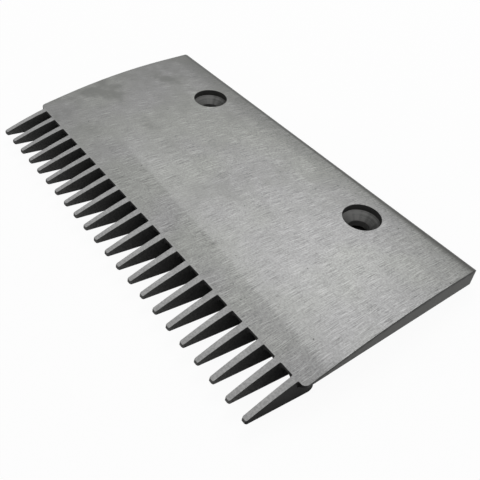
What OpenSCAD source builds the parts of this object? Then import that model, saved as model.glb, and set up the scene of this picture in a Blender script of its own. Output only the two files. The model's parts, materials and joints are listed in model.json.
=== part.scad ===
// Escalator comb plate segment, cast in aluminium in one piece.
// The teeth stand in the grooves of the moving steps, the ramp above them lifts
// shoes and wheels onto the landing, and two countersunk screws hold it down.
// X runs along the row of teeth, Y from the teeth to the rear edge, Z is up.
// The origin lies on the seating face, halfway between the two screw holes.
// Inside the modules, y is counted from the front edge of the plate.

/* [Row of teeth] */
// Number of teeth
tooth_count = 22; // [16:1:26]
// Distance from one tooth to the next, the same as the groove pitch of the steps
tooth_pitch = 9.068; // [8.5:0.002:10.5]
// Length of a tooth in front of the plate
tooth_l = 21.2; // [16:0.2:28]
// Width of a tooth's top at its root
tooth_w_root = 2.8; // [2:0.1:3.2]
// Width of a tooth's top where the tip starts to round off
tooth_w_tip = 2.2; // [1.6:0.1:2.6]
// Lean of each flank, which widens a tooth towards its bottom
flank_lean = 5; // [1:0.5:7]
// Thickness of the tip seen from the side
tip_t = 1.8; // [0.8:0.1:2.2]
// Angle by which the top of a tooth falls more steeply than the ramp at its root
tooth_drop = 2.4; // [1:0.1:4]
// Radius of the slow bend along the top of a tooth
tooth_bend_r = 200; // [150:10:400]
// Radius of the hollows between a tooth and the front edge of the plate
root_r = 0.7; // [0.4:0.1:1]

/* [Fins under the plate] */
// Depth of the fins below the seating face, at the front edge of the plate
fin_depth = 7.5; // [6.5:0.1:9]
// How far the fins run back under the plate
fin_run = 7.2; // [5:0.1:12]
// Radius of the lower rear corner of a fin
fin_corner_r = 2; // [0.6:0.2:3]
// Radius of the hollow between the rear face of a fin and the plate
fin_fillet_r = 1.8; // [0.8:0.1:2.5]
// Depth to which the groove roofs bite into the plate
roof_bite = 0.3; // [0.1:0.05:0.6]
// Length over which a groove runs out behind the fins
groove_runout = 1; // [0.5:0.1:3]

/* [Plate] */
// Overhang of the plate beyond the root of the outer teeth
side_overhang = 3.3; // [1.6:0.05:8]
// Depth of the plate from its front edge to the foot of the rear face
plate_d = 89; // [86:0.1:120]
// Thickness of the plate behind the ramp
plate_t = 9; // [8:0.1:14]
// Thickness of the front edge
lip_t = 1.5; // [1.2:0.1:2.5]
// Distance from the front edge at which the slope of the ramp would meet the level top
ramp_run = 41.7; // [36:0.1:50]
// Length of the rounding between ramp and level top, to each side of that line
crown_run = 30; // [8:0.5:34]
// Radius of the rear top edge
rear_r = 3.5; // [1:0.1:4]
// Lean of the rear face
rear_draft = 4.5; // [1:0.5:8]
// Radius of the rear bottom edge
heel_r = 1.2; // [0.5:0.1:1.5]
// Radius of the four corners seen from above
corner_r = 2; // [0.5:0.1:3]
// Radius along the two lower side edges
edge_r = 0.8; // [0.4:0.1:1.2]

/* [Screw holes] */
// Distance between the two holes
screw_spacing = 108.1; // [80:0.1:150]
// Distance from the front edge to the line of the holes
screw_y = 70.7; // [60:0.1:74]
// Diameter of the recess for the screw head
head_d = 16.6; // [14:0.1:19]
// Depth of the recess down to its conical seat
head_sink = 2.9; // [1:0.1:3.5]
// Full angle of the conical seat
seat_angle = 90; // [82:1:100]
// Diameter of the through hole
screw_d = 10; // [8:0.1:12]

/* [Hidden] */

// Cuts run past the faces that they open by this much
past = 1;
// Hollows and teeth run this far into what they join, so that they cross its faces
bite = 0.05;
// Circles run this far over the lines and arcs that they touch, between which rounded
// numbers would leave slivers
seam = 0.005;
// Step from the front edge down to the top of a tooth, too small to see, for the same reason
tooth_step = 0.02;
// Facets of round shapes, and of the two long arcs seen from the side
$fn = 96;
long_arc_fn = 720;
metal = [0.62, 0.62, 0.60];

// Row: the plate's width follows the teeth and the overhang
row_w = (tooth_count - 1) * tooth_pitch + tooth_w_root;
plate_w = row_w + 2 * side_overhang;
function tooth_x(i) = (i - (tooth_count + 1) / 2) * tooth_pitch;

// Top of the plate: a straight ramp, an arc tangent to it, and a level rear part
ramp_a = atan((plate_t - lip_t) / ramp_run);
crown_r = crown_run / tan(ramp_a / 2);
ramp_y = ramp_run - crown_run * cos(ramp_a);
ramp_z = plate_t - crown_run * sin(ramp_a);
level_y = ramp_run + crown_run;

// Rear face: the centre of the arc that joins it to the level top
rear_z = plate_t - rear_r;
rear_y = plate_d - rear_z * tan(rear_draft) - rear_r / cos(rear_draft);
heel_y = plate_d - heel_r * tan(rear_draft) - heel_r / cos(rear_draft);

// Top of a tooth: an arc that starts at the front edge of the plate
bend_y = tooth_bend_r * sin(ramp_a + tooth_drop);
bend_z = lip_t - tooth_step - tooth_bend_r * cos(ramp_a + tooth_drop);

// Tip seen from the side: a circle that touches that arc from below
tip_y = tip_t / 2 - tooth_l;
tip_a = asin((bend_y - tip_y) / (tooth_bend_r - tip_t / 2));
tip_z = bend_z + (tooth_bend_r - tip_t / 2) * cos(tip_a);
touch_y = tip_y - tip_t / 2 * sin(tip_a);

// Straight bottom from the tip to the rear corner, and the hollow behind the corner
fin_rise = atan((tip_z - tip_t / 2 + fin_depth) / -tip_y);
function fin_bottom_z(y) = -fin_depth - y * tan(fin_rise);
corner_y = fin_run - fin_corner_r;
corner_z = fin_bottom_z(corner_y) + fin_corner_r / cos(fin_rise);
fillet_z = bite - fin_fillet_r;

// Level inside the plate up to which the fins run
core_z = lip_t / 2;

// Flanks: half widths of a tooth at the level z, at its root and at its tip
function half_root(z) = tooth_w_root / 2 + (lip_t - z) * tan(flank_lean);
function half_tip(z) = tooth_w_tip / 2 + (tip_z + tip_t / 2 - z) * tan(flank_lean);
nose_y = half_tip(tip_z) - tooth_l;
flank_taper = atan((half_root(0) - half_tip(0)) / -nose_y);

// Groove roofs between the fins: as wide as the gap at the springing of the arch
top_gap = tooth_pitch / 2 - half_root(roof_bite);
groove_r = top_gap / (1 + tan(flank_lean)) + bite;
fin_floor = fin_bottom_z(fin_run) - past;

// Side view of the plate, with y to the right and z up
module plate_side() {
    // ramp and level part, cut off where the arc of the crown takes over
    polygon([[0, 0], [0, lip_t], [ramp_y, ramp_z], [level_y, ramp_z], [level_y, 0]]);
    polygon([
        [level_y, 0], [level_y, plate_t], [rear_y, plate_t], [rear_y, rear_z],
        [rear_y + rear_r * cos(rear_draft), rear_z + rear_r * sin(rear_draft)],
        [heel_y + heel_r * cos(rear_draft), heel_r + heel_r * sin(rear_draft)],
        [heel_y, heel_r], [heel_y, 0]
    ]);
    // crown
    intersection() {
        translate([level_y, plate_t - crown_r]) circle(r = crown_r, $fn = long_arc_fn);
        translate([ramp_y, 0]) square([level_y - ramp_y, plate_t]);
    }
    // rounded rear edges
    translate([rear_y, rear_z]) circle(r = rear_r);
    translate([heel_y, heel_r]) circle(r = heel_r);
}

// Outline of the plate from above
module plate_plan() {
    inner_w = plate_w - 2 * corner_r;
    translate([-inner_w / 2, 0]) square([inner_w, plate_d]);
    translate([-plate_w / 2, corner_r]) square([plate_w, plate_d - 2 * corner_r]);
    for (x = [-inner_w / 2, inner_w / 2], y = [corner_r, plate_d - corner_r])
        translate([x, y]) circle(r = corner_r);
}

// Side views are drawn in the YZ plane and stretched along X, centred on x = 0
module along_x(w) {
    rotate([90, 0, 90]) linear_extrude(height = w, center = true) children();
}

// Bar under the front edge from which the groove roofs are cut. It ends just past
// the crests of the outer two, which leave nothing of it below the plate there.
module fin_bar() {
    bar_w = tooth_count * tooth_pitch + roof_bite;
    translate([-bar_w / 2, 0, roof_bite - groove_r]) cube([bar_w, fin_run, groove_r]);
}

// Metal taken off along the lower right side edge, seen from the front
module edge_cut() {
    centre_x = plate_w / 2 - edge_r + bite;
    centre_z = edge_r - bite;
    difference() {
        translate([centre_x, centre_z - edge_r - past]) square([edge_r + past, edge_r + past]);
        translate([centre_x, centre_z]) circle(r = edge_r);
    }
}

module plate_blank() {
    intersection() {
        union() {
            along_x(plate_w + 2 * past) plate_side();
            fin_bar();
        }
        translate([0, 0, fin_floor])
            linear_extrude(height = plate_t + past - fin_floor) plate_plan();
    }
}

// Arched grooves between the fins, in which the cleats of the steps run
module groove_roofs() {
    for (i = [0 : tooth_count])
        translate([tooth_x(i + 0.5), -past, roof_bite - groove_r])
            rotate([-90, 0, 0]) cylinder(r = groove_r, h = past + fin_run + groove_runout);
}

// Side view of one fin, from the rounded tip to its rear corner under the plate
module fin_side() {
    intersection() {
        translate([bend_y, bend_z]) circle(r = tooth_bend_r, $fn = long_arc_fn);
        polygon([
            [tip_y, fin_bottom_z(tip_y)], [touch_y, tip_z], [touch_y, plate_t], [bite, plate_t],
            [bite, core_z], [fin_run, core_z], [fin_run, corner_z], [corner_y, corner_z],
            [corner_y - fin_corner_r * sin(fin_rise), corner_z - fin_corner_r * cos(fin_rise)]
        ]);
    }
    translate([tip_y, tip_z]) circle(r = tip_t / 2 + seam);
    translate([corner_y, corner_z]) circle(r = fin_corner_r + seam);
}

// Side view of the hollow behind the rear face of a fin
module fillet_side() {
    difference() {
        translate([fin_run - bite, fillet_z]) square([fin_fillet_r + bite, core_z - fillet_z]);
        translate([fin_run + fin_fillet_r, fillet_z]) circle(r = fin_fillet_r);
    }
}

// Half space inside one flank of a tooth, side is 1 or -1
module inside_flank(side) {
    reach = 2 * tooth_l;
    mirror([side < 0 ? 1 : 0, 0, 0])
        translate([half_root(0), 0, 0])
            rotate([0, -flank_lean, 0]) rotate([0, 0, -flank_taper])
                translate([-reach, -reach, -reach / 2]) cube([reach, 2 * reach, reach]);
}

// Cone round which the tip of a tooth is rounded, seen from above
module nose() {
    top_z = tip_z + tip_t;
    translate([0, nose_y, fin_floor])
        cylinder(r1 = half_tip(fin_floor), r2 = half_tip(top_z), h = top_z - fin_floor);
}

// Webs beside the root of a tooth, seen from above
module root_webs() {
    web_x = half_root(lip_t) - 2 * bite + root_r;
    difference() {
        translate([-web_x, -root_r]) square([2 * web_x, root_r]);
        for (x = [-web_x, web_x]) translate([x, bite - root_r]) circle(r = root_r);
    }
}

module fin() {
    // The hollow has upright sides, so that nothing overhangs the seating face
    along_x(2 * half_root(0)) fillet_side();
    intersection() {
        along_x(tooth_pitch) fin_side();
        union() {
            nose();
            translate([0, 0, fin_floor]) linear_extrude(height = plate_t - fin_floor) root_webs();
            intersection() {
                translate([-tooth_pitch, nose_y, fin_floor])
                    cube([2 * tooth_pitch, fin_run + past - nose_y, plate_t - fin_floor]);
                inside_flank(1);
                inside_flank(-1);
            }
        }
    }
}

// Recess, conical seat and through hole for one countersunk screw
module screw_hole() {
    seat_z = plate_t - head_sink;
    seat_h = (head_d - screw_d) / 2 / tan(seat_angle / 2);
    translate([0, 0, seat_z]) cylinder(d = head_d, h = head_sink + past);
    translate([0, 0, seat_z - seat_h]) cylinder(d1 = screw_d, d2 = head_d, h = seat_h);
    translate([0, 0, -past]) cylinder(d = screw_d, h = plate_t);
}

module comb_plate() {
    color(metal) translate([0, -screw_y, 0]) {
        difference() {
            plate_blank();
            groove_roofs();
            for (side = [0, 1])
                mirror([side, 0, 0]) translate([0, plate_d + past, 0])
                    rotate([90, 0, 0]) linear_extrude(height = plate_d + 2 * past) edge_cut();
            for (x = [-screw_spacing / 2, screw_spacing / 2])
                translate([x, screw_y, 0]) screw_hole();
        }
        for (i = [1 : tooth_count]) translate([tooth_x(i), 0, 0]) fin();
    }
}

comb_plate();
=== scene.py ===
"""Finish of a cast aluminium escalator comb plate, on a plain pale stage."""

import json
import math

import bmesh
import bpy
from bpy.props import FloatProperty, FloatVectorProperty, PointerProperty
from mathutils import Matrix, Quaternion, Vector


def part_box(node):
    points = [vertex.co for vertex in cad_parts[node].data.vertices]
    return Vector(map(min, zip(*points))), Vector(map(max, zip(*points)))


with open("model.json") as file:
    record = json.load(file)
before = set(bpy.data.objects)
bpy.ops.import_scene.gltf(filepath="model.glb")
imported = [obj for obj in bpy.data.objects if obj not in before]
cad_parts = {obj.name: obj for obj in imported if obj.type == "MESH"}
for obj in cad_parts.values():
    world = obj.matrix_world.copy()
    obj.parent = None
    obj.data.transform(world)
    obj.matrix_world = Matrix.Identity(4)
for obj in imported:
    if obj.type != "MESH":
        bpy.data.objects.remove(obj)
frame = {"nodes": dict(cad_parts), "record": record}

bl_info = {
    "name": "Comb plate finish",
    "version": (1, 0, 0),
    "blender": (4, 5, 0),
    "location": "View3D > Sidebar > Comb plate",
    "description": "Finishes a cast aluminium comb plate and sets it on a plain pale stage",
    "category": "Material",
}

NODE = "comb_plate"
SLOT = "cast_aluminium"
MM = 0.001

MOUNTS = {mount["name"]: mount for mount in frame["record"]["mounts"]}
SCREW_HOLE = MOUNTS["screw_hole_right"]
PLATE_LOW, PLATE_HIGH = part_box(NODE)


def length(name, description, default):
    """A size in metres that a user may change."""
    return FloatProperty(
        name=name, description=description, default=default, min=0.0, unit="LENGTH"
    )


def colour(name, description, default):
    """A colour that a user may change."""
    return FloatVectorProperty(
        name=name, description=description, default=default,
        size=3, min=0.0, max=1.0, subtype="COLOR",
    )


def share(name, description, default):
    """A number from 0 to 1 that a user may change."""
    return FloatProperty(
        name=name, description=description, default=default, min=0.0, max=1.0, subtype="FACTOR"
    )


def power(name, description, default):
    """A lamp's power that a user may change."""
    return FloatProperty(
        name=name, description=description, default=default, min=0.0, unit="POWER"
    )


class CombPlateForm(bpy.types.PropertyGroup):
    """Sizes of the casting that its finish follows."""

    tooth_length: length("Tooth length", "How far the teeth stand out of the front edge", 21.2 * MM)
    edge_height: length("Edge height", "Thickness of the plate at its front edge", 1.5 * MM)
    ramp_run: length(
        "Ramp run", "Depth in which the slope of the ramp would reach the level top", 41.7 * MM
    )
    crown_run: length("Crown run", "Length of the rounding to each side of that line", 30 * MM)
    # The painted shade of the flanks fades out over this depth behind the teeth
    side_fade: length(
        "Side fade", "Depth over which the dark of the teeth fades out behind them", 7 * MM
    )
    # Depth of the painted shade along the rear edge
    rear_shade_fade: length("Rear fade", "Depth of the duller strip along the rear edge", 17 * MM)
    hole_offset: length(
        "Hole offset", "Distance of each screw hole from the middle", SCREW_HOLE["pos_m"][0]
    )
    recess_radius: length("Recess radius", "Radius of the recess for a screw head", 8.3 * MM)
    bore_radius: length("Bore radius", "Radius of the through hole for a screw", 5 * MM)


class CombPlateFinish(bpy.types.PropertyGroup):
    """Colours and surface detail of the casting."""

    linished: colour("Linished", "Ground top of the plate", (0.181, 0.184, 0.175))
    linished_cool: colour(
        "Linished, cool", "Cooler patches of the ground top", (0.176, 0.176, 0.175)
    )
    # Painted shade: a darker strip along the rear edge, widest at the left
    rear_shade_strip: colour("Rear strip", "Duller strip along the rear edge", (0.110, 0.112, 0.107))
    tooth_top: colour("Tooth top", "Top of the teeth", (0.25, 0.25, 0.248))
    # As-cast finish, darker than the ground top; part of the sides' darkness is painted shade
    cast: colour("Cast", "Sides and rear face, as cast", (0.078, 0.078, 0.074))
    cast_pale: colour("Cast, pale", "Paler streaks of the sides", (0.098, 0.098, 0.094))
    cast_edge: colour(
        "Cast, edge", "Darker lines along the edges of the sides", (0.03, 0.03, 0.029)
    )
    # Painted shade: the flanks and grooves are darker towards the roots than at the tips
    flank: colour(
        "Flank", "Flanks of the teeth and the grooves between them", (0.055, 0.055, 0.054)
    )
    flank_tip: colour("Flank, tip", "Flanks of the teeth at their tips", (0.08, 0.08, 0.078))
    # Painted shade: the outer flanks of the end teeth are darkest
    outer_flank_shade: colour(
        "Flank, outer", "Outer flank of the first and of the last tooth", (0.012, 0.012, 0.012)
    )
    seating: colour("Seating", "Flat underside", (0.16, 0.16, 0.155))
    # Painted shade: the recess wall is darker than the cast sides
    recess: colour("Recess", "Wall of the recess for a screw head", (0.06, 0.06, 0.058))
    # Painted light: the through hole's wall is lighter than the recess above it
    bore_lit: colour("Bore", "Wall of the through hole for a screw", (0.15, 0.15, 0.147))
    seat: colour("Seat", "Conical seat of a screw", (0.07, 0.07, 0.068))
    # Painted highlight: paler radial streaks and a ring on a conical seat
    seat_highlight: colour("Seat, pale", "Paler streaks of a conical seat", (0.17, 0.17, 0.166))
    line_width: length("Line width", "Width of a grinding line", 0.34 * MM)
    line_length: length("Line length", "Length of a grinding line", 9 * MM)
    line_contrast: share(
        "Line contrast", "How far a grinding line is darker or lighter than the top", 0.45
    )
    # Painted highlight: how far the tread is lightened towards white
    lightened: share("Worn", "How far the tread is brightened by feet behind its front strip", 0.04)
    grain_size: length("Grain size", "Size of the grain of the cast faces", 0.7 * MM)
    edge_line: length(
        "Edge line", "Width of the darker line under the top edge of a side", 2 * MM
    )
    skin: share("Skin", "How metallic the cast faces are, where 1 is bare metal", 0.4)
    relief: length("Relief", "Height of lines and grain", 0.02 * MM)


class CombPlateStage(bpy.types.PropertyGroup):
    """Floor, light and camera."""

    floor_size: length("Floor size", "Side of the square floor", 6.0)
    floor_colour: colour(
        "Floor colour", "Colour of the floor and of the surroundings", (1.0, 1.0, 1.0)
    )
    shadow: share("Shadow", "How much of the shadow the pale floor shows", 0.06)
    lamp_size: length("Lamp size", "Side of each square lamp", 0.5)
    key_power: power("Key lamp power", "Power of the lamp behind the plate, to the left", 2.8)
    fill_power: power("Fill lamp power", "Power of the lamp at the left", 0.97)
    sky: share("Sky", "Light from all round on matt surfaces", 0.5)
    lens: FloatProperty(
        name="Lens", description="Focal length in millimetres",
        default=47.04, min=1.0, unit="CAMERA",
    )


# Nodes are laid out in rows of this many, this far apart
NODES_IN_ROW = 8
COLUMN_WIDTH, ROW_HEIGHT = 240, 320


def add_node(tree, kind, inputs=None, **settings):
    """Adds a node, gives it its settings and feeds its inputs, each with a value or an output."""
    made = tree.nodes.new(kind)
    row, column = divmod(len(tree.nodes), NODES_IN_ROW)
    made.location = (COLUMN_WIDTH * column, -ROW_HEIGHT * row)
    for name, value in settings.items():
        setattr(made, name, value)
    for key, value in (inputs or {}).items():
        feed(tree, made.inputs[key], value)
    return made


def feed(tree, socket, value):
    """Links an output to a socket, or sets the socket's own value."""
    if isinstance(value, bpy.types.NodeSocket):
        tree.links.new(value, socket)
    else:
        socket.default_value = value


def maths(tree, operation, first, second=0.0):
    """One step of arithmetic on values or outputs."""
    return add_node(tree, "ShaderNodeMath", {0: first, 1: second}, operation=operation).outputs[0]


def plus(tree, first, second):
    """The sum of two values."""
    return maths(tree, "ADD", first, second)


def minus(tree, first, second):
    """The first value less the second."""
    return maths(tree, "SUBTRACT", first, second)


def times(tree, first, second):
    """The product of two values."""
    return maths(tree, "MULTIPLY", first, second)


def larger(tree, first, second):
    """The larger of two values."""
    return maths(tree, "MAXIMUM", first, second)


def between(tree, amount, least, most):
    """Goes evenly from least to most as the amount goes from 0 to 1."""
    return plus(tree, times(tree, amount, most - least), least)


def slanted(tree, across, middle, slant):
    """A value that changes evenly across the plate, from the one in the middle."""
    return plus(tree, times(tree, across, slant), middle)


def diagonal(tree, first, second):
    """The diagonal over two sides."""
    squares = plus(tree, *(maths(tree, "POWER", side, 2.0) for side in (first, second)))
    return maths(tree, "SQRT", squares)


def rise(tree, value, start, end, height=1.0):
    """Goes smoothly from 0 at start to the height at end. Start may lie above end."""
    made = add_node(tree, "ShaderNodeMapRange", interpolation_type="SMOOTHSTEP")
    for name, fed in (("Value", value), ("From Min", start), ("From Max", end), ("To Max", height)):
        feed(tree, made.inputs[name], fed)
    return made.outputs["Result"]


# Noise lies around this value, and so do the grinding lines
MIDDLE = 0.5


def noise(tree, place, scale, detail):
    """Noise around its middle. The scale is the number of waves in one unit of place."""
    made = add_node(
        tree, "ShaderNodeTexNoise", {"Vector": place, "Scale": scale, "Detail": detail}
    )
    return made.outputs[0]


def wobble(tree, place, kind, swing):
    """Noise around 0. Its kind is its scale and detail, and the swing its whole height."""
    return times(tree, minus(tree, noise(tree, place, *kind), MIDDLE), swing)


def split(tree, vector):
    """X, Y and Z of a vector."""
    return add_node(tree, "ShaderNodeSeparateXYZ", {0: vector}).outputs


def blend(tree, amount, first, second):
    """The first colour where the amount is 0 and the second where it is 1."""
    made = add_node(tree, "ShaderNodeMix", {0: amount}, data_type="RGBA")
    colours = [socket for socket in made.inputs if socket.type == "RGBA"]
    for socket, value in zip(colours, (first, second)):
        feed(tree, socket, value)
    return next(socket for socket in made.outputs if socket.type == "RGBA")


def layered(tree, ground, layers):
    """A colour with others laid over it in turn, each where its mask says."""
    for mask, over in layers:
        ground = blend(tree, mask, ground, over)
    return ground


def opaque(rgb):
    """A colour as a socket holds it."""
    return (*rgb, 1.0)


def shade(rgb, factor):
    """A colour made darker or lighter, as a socket holds it."""
    return opaque(min(part * factor, 1.0) for part in rgb)


def shaded(tree, amount, rgb, factors):
    """A colour that goes from a darker to a lighter shade of itself."""
    return blend(tree, amount, *(shade(rgb, factor) for factor in factors))


def start_group(name, inputs, outputs):
    """A node group. An input without a default is a vector, and all else is numbers."""
    tree = bpy.data.node_groups.new(name, "ShaderNodeTree")
    for label, default in inputs.items():
        kind = "NodeSocketVector" if default is None else "NodeSocketFloat"
        socket = tree.interface.new_socket(label, in_out="INPUT", socket_type=kind)
        if default is not None:
            socket.default_value = default
    for label in outputs:
        tree.interface.new_socket(label, in_out="OUTPUT", socket_type="NodeSocketFloat")
    given, result = tree.nodes.new("NodeGroupInput"), tree.nodes.new("NodeGroupOutput")
    return tree, given.outputs, result.inputs


def place_group(tree, group, inputs):
    """Puts a group into a material, feeds its inputs and gives its outputs by name."""
    placed = add_node(tree, "ShaderNodeGroup", inputs, node_tree=group)
    return {socket.name: socket for socket in placed.outputs}


def hole_distance(tree, place, offset):
    """Distance from the axis of the nearer screw hole, and the way from it along X."""
    beside = minus(tree, maths(tree, "ABSOLUTE", place["X"]), offset)
    return diagonal(tree, beside, place["Y"]), beside


# Each pair is the start and the end of a rise, and a third number is its height.
# Heights of a normal at which a face is part of the top, the underside or a conical seat
TOP_FACE = (0.80, 0.92)
UNDER_FACE = (-0.90, -0.97)
SEAT_FACE = (0.45, 0.6)
# The tops of the teeth start over this distance to each side of the front edge, and turn lighter
# from this far out
TOOTH_START = 1 * MM
TOOTH_OUTWARD = (3 * MM, 9 * MM)
# Distance from the end of the row at which the flank is an outer one, with the darkest painted
# shade
OUTER_FLANK = (4.3 * MM, 3.8 * MM)
# The ramp's straight front ends here behind the front edge, and nearer to it at the right
RAMP_FRONT, RAMP_FRONT_SLANT = 14.3 * MM, -0.045
# A painted highlight on the tread behind it, which fades out to the rear and to the left
SHEEN_FRONT = (-1 * MM, 1.5 * MM)
SHEEN_REAR = (40 * MM, 18 * MM)
SHEEN_LEFT = (-70 * MM, -30 * MM)
# Painted shade: a darker strip along the rear edge, which narrows towards the right
SHADE_STRIP_SLANT = 0.06
# Painted shade: a dark band along the rounded rear edge, which widens towards the right
SHADE_BAND_START, SHADE_BAND_END = -4.7 * MM, -3.3 * MM
SHADE_BAND_WIDENS = (10 * MM, 90 * MM, 2 * MM)
# How far the masks of a screw hole reach past its walls
RIM = 0.15 * MM


def casting_zones_group():
    """Masks of the parts of the casting, read from place and normal."""
    tree, given, result = start_group(
        "Casting zones",
        {
            "Position": None,
            "Normal": None,
            "Front edge": 0.0,
            "Rear edge": 0.1,
            "Half width": 0.1,
            "Tooth length": 0.02,
            "Side fade": 0.01,
            "Rear fade": 0.01,
            "Hole offset": 0.05,
            "Recess radius": 0.01,
            "Bore radius": 0.005,
        },
        (
            "Facing up", "Facing down", "Teeth", "Plate", "Tips", "Worn teeth", "Row ends",
            "Tread", "Rear strip", "Rear edge", "Hole", "Bore", "Seat",
        ),
    )
    place, facing = split(tree, given["Position"]), split(tree, given["Normal"])
    for name, span in (("Facing up", TOP_FACE), ("Facing down", UNDER_FACE), ("Seat", SEAT_FACE)):
        feed(tree, result[name], rise(tree, facing["Z"], *span))

    edge = given["Front edge"]
    ahead, out = minus(tree, place["Y"], edge), minus(tree, edge, place["Y"])
    beside = minus(tree, given["Half width"], maths(tree, "ABSOLUTE", place["X"]))
    tooth_span = plus(tree, edge, TOOTH_START), minus(tree, edge, TOOTH_START)
    feed(tree, result["Teeth"], rise(tree, place["Y"], *tooth_span))
    plate_full = plus(tree, edge, given["Side fade"])
    feed(tree, result["Plate"], rise(tree, place["Y"], edge, plate_full))
    tip_full = minus(tree, edge, given["Tooth length"])
    feed(tree, result["Tips"], rise(tree, place["Y"], edge, tip_full))
    feed(tree, result["Worn teeth"], rise(tree, out, *TOOTH_OUTWARD))
    feed(tree, result["Row ends"], rise(tree, beside, *OUTER_FLANK))

    # Painted highlight on the tread behind the ramp's straight front
    past_front = minus(tree, ahead, slanted(tree, place["X"], RAMP_FRONT, RAMP_FRONT_SLANT))
    tread = times(tree, rise(tree, past_front, *SHEEN_FRONT), rise(tree, ahead, *SHEEN_REAR))
    feed(tree, result["Tread"], times(tree, tread, rise(tree, place["X"], *SHEEN_LEFT)))

    behind = minus(tree, place["Y"], given["Rear edge"])
    # Painted shade along the rear edge, wider at the left
    strip = minus(tree, times(tree, place["X"], SHADE_STRIP_SLANT), given["Rear fade"])
    feed(tree, result["Rear strip"], rise(tree, behind, strip, 0.0))
    # A darker band of painted shade on the rounded rear edge
    shade_band = minus(tree, SHADE_BAND_START, rise(tree, place["X"], *SHADE_BAND_WIDENS))
    feed(tree, result["Rear edge"], rise(tree, behind, shade_band, SHADE_BAND_END))

    distance, _ = hole_distance(tree, place, given["Hole offset"])
    for name, radius in (("Hole", "Recess radius"), ("Bore", "Bore radius")):
        rim = plus(tree, given[radius], RIM)
        feed(tree, result[name], maths(tree, "LESS_THAN", distance, rim))
    return tree


# Scale and detail of the noise that makes the lines ragged
EDGE_NOISE = (400.0, 3.0)
# In widths of a line: how far it is ragged, where the upper one is full, and the lower one starts
EDGE_SWING = 1.3
UPPER_FULL = 0.4
LOWER_START = 0.7


def side_lines_group():
    """Lines just under the top edge and over the lower edge of the plate's sides."""
    tree, given, result = start_group(
        "Side lines",
        {
            "Position": None,
            "Plate top": 0.009,
            "Level from": 0.0,
            "Crown reach": 0.06,
            "Crown radius": 0.3,
            "Slope": 0.18,
            "Width": MM,
        },
        ("Edge lines",),
    )
    place, width = split(tree, given["Position"]), given["Width"]
    ahead = larger(tree, minus(tree, given["Level from"], place["Y"]), 0.0)
    near = maths(tree, "MINIMUM", ahead, given["Crown reach"])
    twice = times(tree, given["Crown radius"], 2.0)
    crown = maths(tree, "DIVIDE", times(tree, near, near), twice)
    ramp = times(tree, minus(tree, ahead, near), given["Slope"])
    top = minus(tree, given["Plate top"], plus(tree, crown, ramp))

    shift = wobble(tree, given["Position"], EDGE_NOISE, times(tree, width, EDGE_SWING))
    under_top = plus(tree, minus(tree, top, place["Z"]), shift)
    over_foot = plus(tree, place["Z"], shift)
    upper = rise(tree, under_top, width, times(tree, width, UPPER_FULL))
    lower = rise(tree, over_foot, times(tree, width, LOWER_START), 0.0)
    feed(tree, result["Edge lines"], larger(tree, upper, lower))
    return tree


# Scale and detail of each noise on the ground top
SWAY_NOISE = (30.0, 1.0)
WORK_NOISE = (110.0, 2.0)
GRAIN_NOISE = (1400.0, 1.0)
PATCH_NOISE = (28.0, 2.0)
SMUDGE_NOISE = (75.0, 3.0)
PIT_NOISE = (600.0, 1.0)
# Each pair is the start and the end of a rise, and a third number is its height.
# At the right the belt has worked evenly, elsewhere in patches
PATCHY = (70 * MM, 10 * MM)
# How far the lines sway, and how much of that and of their crossing is left at the right
SWAY = 3 * MM
STEADY = 0.4
# Lean of the lines in the middle of the plate, its change per metre to the right, and the
# leans at which the lines cross
BELT_LEAN, BELT_TURN = -0.18, 1.5
CROSSINGS = (-0.13, 0.0, 0.13)
# How far apart in the noise the crossing sets of lines are taken, and the detail of a line
SET_STEP = 40.0
LINE_DETAIL = 2.0
# Where the noise makes a pale line and where a dark one
PALE_LINE = (0.61, 0.69, 2.0)
DARK_LINE = (0.39, 0.31, 0.7)
# Where the noise says that the belt has worked more, the depth of the lines where it has
# worked least, and what they gain where it has worked more, at the right and elsewhere
WORKED = (0.40, 0.6)
LEAST_DEPTH = (0.44, 0.22)
MORE_DEPTH = (0.08, 0.50)
# Lines and grain start with this share of their depth at the left side
FULL_FROM = (-90 * MM, 0.0)
LEFT_SHARE = 0.5
GRAIN_SHARE = 0.9
# Where the noise makes a cool patch, a smudge and a pit
COOL_PATCH = (0.35, 0.65)
SMUDGE = (0.46, 0.74)
PIT = (0.77, 0.81)
# How dark a smudge is at the right and elsewhere; the extra dark away from the right is painted
# shade
SMUDGE_AND_SHADE_DARK = (0.15, 0.50)


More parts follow.
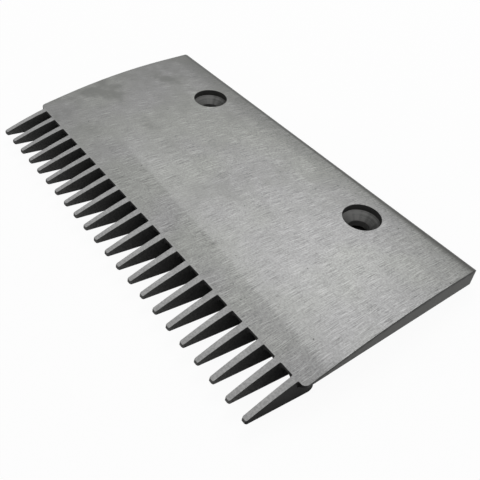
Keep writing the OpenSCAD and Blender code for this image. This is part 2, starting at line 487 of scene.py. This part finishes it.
def grinding_lines_group():
    """Short lines from front to rear, as a grinding belt leaves them, swaying and crossing."""
    tree, given, result = start_group(
        "Grinding lines",
        {"Position": None, "Width": MM, "Length": 6 * MM},
        ("Lines", "Patches", "Smudges", "Pits"),
    )
    spot = given["Position"]
    place = split(tree, spot)
    patchy = rise(tree, place["X"], *PATCHY)
    loose = between(tree, patchy, STEADY, 1.0)
    swayed = plus(tree, place["X"], wobble(tree, spot, SWAY_NOISE, times(tree, loose, SWAY)))
    belt = slanted(tree, place["X"], BELT_LEAN, BELT_TURN)
    along = maths(tree, "DIVIDE", place["Y"], given["Length"])
    lines = 0.0
    for number, crossing in enumerate(CROSSINGS):
        lean = plus(tree, belt, times(tree, loose, crossing))
        across = plus(tree, swayed, times(tree, place["Y"], lean))
        across = maths(tree, "DIVIDE", across, given["Width"])
        drawn = {"X": across, "Y": along, "Z": SET_STEP * number}
        drawn = add_node(tree, "ShaderNodeCombineXYZ", drawn).outputs[0]
        waves = noise(tree, drawn, 1.0, LINE_DETAIL)
        pair = minus(tree, rise(tree, waves, *PALE_LINE), rise(tree, waves, *DARK_LINE))
        lines = plus(tree, lines, pair)

    worked = noise(tree, spot, *WORK_NOISE)
    more, least = (between(tree, patchy, *depth) for depth in (MORE_DEPTH, LEAST_DEPTH))
    depth = plus(tree, rise(tree, worked, *WORKED, more), least)
    full = plus(tree, rise(tree, place["X"], *FULL_FROM, 1.0 - LEFT_SHARE), LEFT_SHARE)
    lines = times(tree, lines, times(tree, depth, full))
    grain = wobble(tree, spot, GRAIN_NOISE, times(tree, full, GRAIN_SHARE))
    feed(tree, result["Lines"], plus(tree, plus(tree, lines, grain), MIDDLE))

    feed(tree, result["Patches"], rise(tree, noise(tree, spot, *PATCH_NOISE), *COOL_PATCH))
    dark = between(tree, patchy, *SMUDGE_AND_SHADE_DARK)
    feed(tree, result["Smudges"], rise(tree, noise(tree, spot, *SMUDGE_NOISE), *SMUDGE, dark))
    feed(tree, result["Pits"], rise(tree, noise(tree, spot, *PIT_NOISE), *PIT))
    return tree


# Middle of each stain and its reach along X and Y in millimetres, and how dark it is
STAINS = (
    (-81.5, -8.5, 9.0, 10.0, 0.85),
    (-91.0, -40.5, 14.0, 13.0, 0.85),
    (-81.0, -47.0, 6.0, 6.0, 0.35),
    (-68.0, -60.0, 7.0, 7.0, 0.35),
    (-52.0, -37.0, 7.0, 4.0, 0.45),
    # The last one is no stain but painted shade along the left side
    (-101.0, -18.0, 24.0, 70.0, 0.5),
)
# Noise of a stain's outline, and in reaches how ragged it is, where it starts and where it is full
STAIN_NOISE = (120.0, 4.0)
STAIN_SWING = 3.4
STAIN_SPAN = (1.1, 0.1)


def stains_group():
    """Ragged stains on the ground top, and painted shade along its left side."""
    tree, given, result = start_group("Stains", {"Position": None}, ("Stains",))
    place = split(tree, given["Position"])
    shift = wobble(tree, given["Position"], STAIN_NOISE, STAIN_SWING)
    stains = 0.0
    for middle_x, middle_y, reach_x, reach_y, dark in STAINS:
        ways = (
            maths(tree, "DIVIDE", minus(tree, place[name], middle * MM), reach * MM)
            for name, middle, reach in (("X", middle_x, reach_x), ("Y", middle_y, reach_y))
        )
        distance = plus(tree, diagonal(tree, *ways), shift)
        stains = larger(tree, stains, rise(tree, distance, *STAIN_SPAN, dark))
    feed(tree, result["Stains"], stains)
    return tree


# Noise of the radial streaks of painted highlight, detail of the turned rings, and their shares in
# the pattern
STREAK_NOISE = (2.2, 1.0)
RING_DETAIL = 1.0
STREAK_SHARE, RING_SHARE = 0.7, 0.3
# Painted shade: the seat turns darker from its left to its right by one step in this distance
SEAT_SHADE_RUN = 50 * MM
SEAT_HIGHLIGHT = (0.32, 0.72)
# A ring of painted highlight just inside the seat's outer edge, from its inner to its outer radius
RIM_INNER = (7.0 * MM, 7.4 * MM)
RIM_OUTER = (8.0 * MM, 7.6 * MM)
RIM_HIGHLIGHT = 0.2


def seat_rings_and_sheen_group():
    """Turned rings, radial streaks of painted highlight and painted shade on a conical seat."""
    tree, given, result = start_group(
        "Turned marks",
        {"Position": None, "Hole offset": 0.05, "Pitch": 0.3 * MM},
        ("Marks",),
    )
    place = split(tree, given["Position"])
    distance, beside = hole_distance(tree, place, given["Hole offset"])
    way = add_node(tree, "ShaderNodeCombineXYZ", {"X": beside, "Y": place["Y"]}).outputs[0]
    turn = add_node(tree, "ShaderNodeVectorMath", {0: way}, operation="NORMALIZE").outputs[0]
    streaks = noise(tree, turn, *STREAK_NOISE)
    rings = add_node(
        tree, "ShaderNodeTexNoise",
        {
            "W": maths(tree, "DIVIDE", distance, given["Pitch"]),
            "Scale": 1.0,
            "Detail": RING_DETAIL,
        },
        noise_dimensions="1D",
    ).outputs[0]
    both = plus(tree, times(tree, streaks, STREAK_SHARE), times(tree, rings, RING_SHARE))
    to_right = times(tree, beside, maths(tree, "SIGN", place["X"]))
    # Painted highlight in streaks, turning to painted shade towards the right
    pale = rise(tree, plus(tree, both, times(tree, to_right, -1.0 / SEAT_SHADE_RUN)), *SEAT_HIGHLIGHT)
    # A ring of painted highlight
    ring = times(tree, rise(tree, distance, *RIM_INNER), rise(tree, distance, *RIM_OUTER))
    feed(tree, result["Marks"], plus(tree, pale, times(tree, ring, RIM_HIGHLIGHT)))
    return tree


# Detail of the grain of a cast face, and scale of its clouds against it
CAST_DETAIL = 3.0
CLOUD_SCALE = 0.2


def cast_grain_group():
    """Fine grain of a sand-blasted casting, and larger clouds in it."""
    tree, given, result = start_group(
        "Cast grain", {"Position": None, "Size": 0.7 * MM}, ("Grain", "Clouds")
    )
    fine = maths(tree, "DIVIDE", 1.0, given["Size"])
    for name, scale in (("Grain", fine), ("Clouds", times(tree, fine, CLOUD_SCALE))):
        feed(tree, result[name], noise(tree, given["Position"], scale, CAST_DETAIL))
    return tree


def casting_masks(tree, form, finish):
    """The masks and patterns of all groups by name, placed on the casting."""
    where = add_node(tree, "ShaderNodeTexCoord").outputs
    spot = {"Position": where["Object"]}
    front = PLATE_LOW.y + form.tooth_length
    slope = math.atan2(PLATE_HIGH.z - form.edge_height, form.ramp_run)
    groups = (
        (casting_zones_group(), {
            "Normal": where["Normal"],
            "Front edge": front,
            "Rear edge": PLATE_HIGH.y,
            "Half width": PLATE_HIGH.x,
            "Tooth length": form.tooth_length,
            "Side fade": form.side_fade,
            "Rear fade": form.rear_shade_fade,
            "Hole offset": form.hole_offset,
            "Recess radius": form.recess_radius,
            "Bore radius": form.bore_radius,
        }),
        (side_lines_group(), {
            "Plate top": PLATE_HIGH.z,
            "Level from": front + form.ramp_run + form.crown_run,
            "Crown reach": form.crown_run * (1.0 + math.cos(slope)),
            "Crown radius": form.crown_run / math.tan(slope / 2),
            "Slope": math.tan(slope),
            "Width": finish.edge_line,
        }),
        (grinding_lines_group(), {"Width": finish.line_width, "Length": finish.line_length}),
        (stains_group(), {}),
        (seat_rings_and_sheen_group(), {"Hole offset": form.hole_offset}),
        (cast_grain_group(), {"Size": finish.grain_size}),
    )
    masks = {}
    for group, inputs in groups:
        masks.update(place_group(tree, group, {**spot, **inputs}))
    return masks


WHITE = (1.0, 1.0, 1.0)
# Shades of the ground top where it is smudged, stained or pitted, as factors of its colour; the
# smudges also carry painted shade
SMUDGE_SHADE = 0.78
STAIN_SHADE = 0.65
PIT_SHADE = 0.45
# Noise between which the speckle of a tooth goes from its dark to its light shade
SPECKLE = (0.35, 0.65)
TOOTH_SPECKLE = (0.84, 1.1)
FLANK_SPECKLE = (0.8, 1.2)
# Tone of a tooth's top at its root, and further out, where it is lighter
ROOT_SHADE, OUTWARD_SHADE = 0.9, 1.07
# Noise between which a side goes from its own colour to its pale streaks
SIDE_STREAKS = (0.25, 0.8)
# Painted shade of the band along the rear edge, as a factor of the cast colour
SHADE_BAND_FACTOR = 0.95


def line_shades(finish):
    """Factors of a colour in a dark and in a pale grinding line."""
    return 1.0 - finish.line_contrast, 1.0 + finish.line_contrast


def top_colour(tree, finish, masks, speckle):
    """Colour of the ground top and the tops of the teeth, with painted shade along the rear edge
    and at the left, and a painted highlight on the tread.
    """
    shades = line_shades(finish)
    grounds = (finish.linished, finish.linished_cool)
    lined = (
        blend(tree, masks["Patches"], *(shade(rgb, factor) for rgb in grounds))
        for factor in shades
    )
    root, lightened = (
        shaded(tree, speckle, finish.tooth_top, [factor * level for factor in TOOTH_SPECKLE])
        for level in (ROOT_SHADE, OUTWARD_SHADE)
    )
    return layered(tree, blend(tree, masks["Lines"], *lined), (
        # Painted shade along the rear edge
        (masks["Rear strip"], shaded(tree, masks["Lines"], finish.rear_shade_strip, shades)),
        # Smudges, with painted shade away from the right
        (masks["Smudges"], shade(finish.linished, SMUDGE_SHADE)),
        # Painted highlight on the tread
        (times(tree, masks["Tread"], finish.lightened), opaque(WHITE)),
        # Stains, and painted shade along the left side
        (masks["Stains"], shade(finish.linished, STAIN_SHADE)),
        (masks["Pits"], shade(finish.linished, PIT_SHADE)),
        (masks["Teeth"], blend(tree, masks["Worn teeth"], root, lightened)),
        # Painted shade along the rounded rear edge
        (masks["Rear edge"], shade(finish.cast, SHADE_BAND_FACTOR)),
    ))


def side_colour(tree, finish, masks, speckle):
    """Colour of the sides, the underside and the flanks of the teeth, with painted shade on the
    flanks.
    """
    streaks = rise(tree, masks["Clouds"], *SIDE_STREAKS)
    side = layered(tree, opaque(finish.cast), (
        (streaks, opaque(finish.cast_pale)),
        (masks["Edge lines"], opaque(finish.cast_edge)),
        (masks["Facing down"], shaded(tree, masks["Lines"], finish.seating, line_shades(finish))),
    ))
    flank, tip = (
        shaded(tree, speckle, rgb, FLANK_SPECKLE) for rgb in (finish.flank, finish.flank_tip)
    )
    # Painted shade: flanks darker towards their roots, darkest on the outer ones
    return layered(tree, flank, (
        (masks["Tips"], tip),
        (masks["Row ends"], opaque(finish.outer_flank_shade)),
        (masks["Plate"], side),
    ))


def hole_colour(tree, finish, masks):
    """Colour of the walls and the seat of a screw hole, with painted shade on the recess wall,
    painted light in the through hole and painted highlights on the seat.
    """
    seat = blend(tree, masks["Marks"], opaque(finish.seat), opaque(finish.seat_highlight))
    # Painted shade on the recess wall, painted light on the bore's
    wall = blend(tree, masks["Bore"], opaque(finish.recess), opaque(finish.bore_lit))
    return blend(tree, masks["Seat"], wall, seat)


# Height of the grain against that of the lines, and strength of both
GRAIN_HEIGHT = 0.5
BUMP_STRENGTH = 0.6
# Roughness of the top, how much its clouds add, and how much more the cast faces have
ROUGHNESS = 0.35
CLOUD_ROUGHNESS = 0.1
CAST_ROUGHNESS = 0.15
SPECULAR = 0.1


def cast_aluminium(form, finish):
    """The casting's material: ground on top, as cast on its sides, with painted shade between the
    teeth.
    """
    material = bpy.data.materials.new(SLOT)
    material.use_nodes = True
    tree = material.node_tree
    shader = tree.nodes["Principled BSDF"]
    masks = casting_masks(tree, form, finish)
    speckle = rise(tree, masks["Grain"], *SPECKLE)
    feed(tree, shader.inputs["Base Color"], layered(
        tree, side_colour(tree, finish, masks, speckle), (
            (masks["Hole"], hole_colour(tree, finish, masks)),
            (masks["Facing up"], top_colour(tree, finish, masks, speckle)),
        )
    ))

    lined = times(tree, masks["Lines"], masks["Facing up"])
    height = plus(tree, lined, times(tree, masks["Grain"], GRAIN_HEIGHT))
    bump = {"Height": height, "Distance": finish.relief, "Strength": BUMP_STRENGTH}
    feed(tree, shader.inputs["Normal"], add_node(tree, "ShaderNodeBump", bump).outputs[0])
    cast = times(tree, minus(tree, 1.0, masks["Facing up"]), CAST_ROUGHNESS)
    clouded = plus(tree, times(tree, masks["Clouds"], CLOUD_ROUGHNESS), ROUGHNESS)
    feed(tree, shader.inputs["Roughness"], plus(tree, clouded, cast))
    shader.inputs["Specular IOR Level"].default_value = SPECULAR
    bare = larger(tree, masks["Facing up"], times(tree, masks["Hole"], masks["Seat"]))
    feed(tree, shader.inputs["Metallic"], between(tree, bare, finish.skin, 1.0))
    return material


class COMBPLATE_OT_finish_casting(bpy.types.Operator):
    """Gives the casting its finish"""

    bl_idname = "comb_plate.finish_casting"
    bl_label = "Finish the casting"

    def execute(self, context):
        scene, casting = context.scene, frame["nodes"][NODE]
        casting.data.materials.clear()
        casting.data.materials.append(
            cast_aluminium(scene.comb_plate_form, scene.comb_plate_finish)
        )
        return {"FINISHED"}


def seen_directly(tree):
    """1 for rays that show the surroundings: from the camera, off metal or through glass."""
    path = add_node(tree, "ShaderNodeLightPath").outputs
    seen = larger(tree, path["Is Camera Ray"], path["Is Transmission Ray"])
    return larger(tree, seen, path["Is Glossy Ray"])


# Half the width over which the darkness under the object starts at its outline
OUTLINE_BLUR = 3 * MM


def under_object(tree, place, low, high):
    """1 on the floor under the object, and 0 outside its outline."""
    to_side, to_rear, to_front = (
        rise(tree, way, border + outwards * OUTLINE_BLUR, border - outwards * OUTLINE_BLUR)
        for way, border, outwards in (
            (maths(tree, "ABSOLUTE", place["X"]), high.x, 1),
            (place["Y"], high.y, 1),
            (place["Y"], low.y, -1),
        )
    )
    return times(tree, to_side, times(tree, to_rear, to_front))


# Points lower than this belong to the seat or to the fins
SEAT_TOUCH = 0.2 * MM


def resting_tilt(casting):
    """Rear contact point and slope of the surface on which the fins and the rear edge rest."""
    points = [vertex.co for vertex in casting.data.vertices]
    heel = max((p for p in points if p.z < SEAT_TOUCH), key=lambda p: p.y)
    fins = [p for p in points if p.z < 0.0 and p.y < 0.0]
    slope = max(math.atan2(heel.z - p.z, heel.y - p.y) for p in fins)
    return heel, slope


# Each pair is the start and the end of a rise.
# Distances from a screw hole's axis, in radii of its bore, over which the painted shade on the
# floor turns pale, and over which it turns bright under the seat
HOLE_DARK = (1.5, 2.0)
HOLE_DARK_UNDER = (1.7, 2.4)
# Colour of the painted shade under the screw holes
PAINTED_HOLE_SHADE = (0.02, 0.02, 0.02)
# The floor stays bright under the seat, from this far behind the front edge, and this bright
SEAT_BRIGHT = (12 * MM, 30 * MM)
SEAT_GLOW = 0.6
# Distance in metres from the object at which its shadow starts to show, and shows in full
SHADOW_REACH = (0.8, 0.25)


def pale_floor(form, stage):
    """A floor that shows its own colour, a share of the object's shadow and painted shade under the
    screw holes.
    """
    material = bpy.data.materials.new("pale_floor")
    material.use_nodes = True
    tree = material.node_tree
    tree.nodes.clear()
    pale = opaque(stage.floor_colour)
    where = add_node(tree, "ShaderNodeTexCoord").outputs["Object"]
    place = split(tree, where)
    # Under the screw holes the floor is painted dark as painted shade, and metal sees it dark under
    # the object
    distance, _ = hole_distance(tree, place, form.hole_offset)
    off_holes, off_holes_under = (
        rise(tree, distance, *(radii * form.bore_radius for radii in span))
        for span in (HOLE_DARK, HOLE_DARK_UNDER)
    )
    colour_there = blend(tree, off_holes, opaque(PAINTED_HOLE_SHADE), pale)
    paint = add_node(tree, "ShaderNodeBsdfDiffuse", {"Color": colour_there}).outputs[0]
    glow = add_node(tree, "ShaderNodeEmission", {"Color": pale, "Strength": 1.0}).outputs[0]
    glossy = add_node(tree, "ShaderNodeLightPath").outputs["Is Glossy Ray"]
    under = under_object(tree, place, PLATE_LOW, PLATE_HIGH)
    # Under the flat seat it stays bright, so that the underside isn't black from below
    front = PLATE_LOW.y + form.tooth_length
    behind_fins = rise(tree, place["Y"], *(front + depth for depth in SEAT_BRIGHT))
    bright = times(tree, under, times(tree, behind_fins, off_holes_under))
    hidden = times(tree, glossy, minus(tree, under, bright))
    seen = times(tree, seen_directly(tree), minus(tree, 1.0, hidden))
    seen = larger(tree, seen, times(tree, bright, SEAT_GLOW))
    reach = add_node(tree, "ShaderNodeVectorMath", {0: where}, operation="LENGTH").outputs["Value"]
    shown = minus(tree, 1.0, rise(tree, reach, *SHADOW_REACH, stage.shadow))
    lit = times(tree, times(tree, seen, off_holes), shown)
    above = add_node(tree, "ShaderNodeMixShader", {0: lit, 1: paint, 2: glow}).outputs[0]
    below = add_node(tree, "ShaderNodeBsdfTransparent").outputs[0]
    turned = add_node(tree, "ShaderNodeNewGeometry").outputs["Backfacing"]
    sides = add_node(tree, "ShaderNodeMixShader", {0: turned, 1: above, 2: below}).outputs[0]
    add_node(tree, "ShaderNodeOutputMaterial", {"Surface": sides})
    return material


def build_floor(form, stage, casting):
    """A square floor under the fins and the rear edge."""
    heel, slope = resting_tilt(casting)
    mesh = bpy.data.meshes.new("floor")
    shape = bmesh.new()
    turn = Matrix.Translation((0.0, heel.y, heel.z)) @ Matrix.Rotation(slope, 4, "X")
    bmesh.ops.create_grid(shape, x_segments=1, y_segments=1, size=stage.floor_size / 2, matrix=turn)
    shape.to_mesh(mesh)
    shape.free()
    floor = bpy.data.objects.new("floor", mesh)
    floor.data.materials.append(pale_floor(form, stage))
    bpy.context.scene.collection.objects.link(floor)


KEY_PLACE = Vector((-0.39, 0.51, 0.90))
FILL_PLACE = Vector((-0.71, 0.16, 0.85))


def build_lamp(name, place, size, energy):
    """A square lamp that faces the object."""
    lamp = bpy.data.lights.new(name, "AREA")
    lamp.size = size
    lamp.energy = energy
    holder = bpy.data.objects.new(name, lamp)
    holder.location = place
    holder.rotation_mode = "QUATERNION"
    holder.rotation_quaternion = (-place).to_track_quat("-Z", "Y")
    bpy.context.scene.collection.objects.link(holder)


def build_sky(stage):
    """Plain surroundings: the floor's colour where seen, softer as a light on matt surfaces."""
    world = bpy.data.worlds.new("sky")
    world.use_nodes = True
    tree = world.node_tree
    tree.nodes.clear()
    soft, seen = (
        add_node(
            tree, "ShaderNodeBackground",
            {"Color": opaque(stage.floor_colour), "Strength": strength},
        ).outputs[0]
        for strength in (stage.sky, 1.0)
    )
    either = {0: seen_directly(tree), 1: soft, 2: seen}
    either = add_node(tree, "ShaderNodeMixShader", either).outputs[0]
    add_node(tree, "ShaderNodeOutputWorld", {"Surface": either})
    bpy.context.scene.world = world


CAMERA_PLACE = Vector((171.68, -169.67, 171.83)) * MM
CAMERA_AIM = Vector((30.99, -44.77, 0.0)) * MM
CAMERA_ROLL = math.radians(6.54)
# Width of the film in millimetres, and distances in metres between which the camera sees
FILM_WIDTH = 36.0
CLIP_START, CLIP_END = 0.01, 100.0


def build_camera(stage):
    """The camera, at the viewing angle of the photograph."""
    lens = bpy.data.cameras.new("camera")
    lens.sensor_width = FILM_WIDTH
    lens.lens = stage.lens
    lens.clip_start, lens.clip_end = CLIP_START, CLIP_END
    camera = bpy.data.objects.new("camera", lens)
    camera.location = CAMERA_PLACE
    camera.rotation_mode = "QUATERNION"
    level = (CAMERA_AIM - CAMERA_PLACE).to_track_quat("-Z", "Y")
    camera.rotation_quaternion = level @ Quaternion((0.0, 0.0, 1.0), CAMERA_ROLL)
    bpy.context.scene.collection.objects.link(camera)
    bpy.context.scene.camera = camera


class COMBPLATE_OT_build_stage(bpy.types.Operator):
    """Adds the floor, the light and the camera"""

    bl_idname = "comb_plate.build_stage"
    bl_label = "Build the stage"

    def execute(self, context):
        stage = context.scene.comb_plate_stage
        context.scene.view_settings.view_transform = "Standard"
        build_floor(context.scene.comb_plate_form, stage, frame["nodes"][NODE])
        build_sky(stage)
        build_lamp("key_lamp", KEY_PLACE, stage.lamp_size, stage.key_power)
        build_lamp("fill_lamp", FILL_PLACE, stage.lamp_size, stage.fill_power)
        build_camera(stage)
        return {"FINISHED"}


class COMBPLATE_PT_panel(bpy.types.Panel):
    """Sizes, colours and steps of the comb plate."""

    bl_idname = "COMBPLATE_PT_panel"
    bl_label = "Comb plate"
    bl_space_type = "VIEW_3D"
    bl_region_type = "UI"
    bl_category = "Comb plate"

    def draw(self, context):
        for group in GROUPS:
            box = self.layout.box()
            settings = getattr(context.scene, group)
            for name in settings.__annotations__:
                box.prop(settings, name)
        for operator in OPERATORS:
            self.layout.operator(operator.bl_idname)


GROUPS = {
    "comb_plate_form": CombPlateForm,
    "comb_plate_finish": CombPlateFinish,
    "comb_plate_stage": CombPlateStage,
}
OPERATORS = [COMBPLATE_OT_build_stage, COMBPLATE_OT_finish_casting]
CLASSES = [*GROUPS.values(), *OPERATORS, COMBPLATE_PT_panel]


def register():
    """Makes the classes and their settings known to Blender."""
    for made in CLASSES:
        bpy.utils.register_class(made)
    for name, group in GROUPS.items():
        setattr(bpy.types.Scene, name, PointerProperty(type=group))


def unregister():
    """Takes them out again."""
    for name in GROUPS:
        delattr(bpy.types.Scene, name)
    for made in reversed(CLASSES):
        bpy.utils.unregister_class(made)


def main():
    """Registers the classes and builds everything."""
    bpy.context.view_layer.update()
    register()
    bpy.ops.comb_plate.build_stage()
    bpy.ops.comb_plate.finish_casting()


if __name__ == "__main__":
    main()
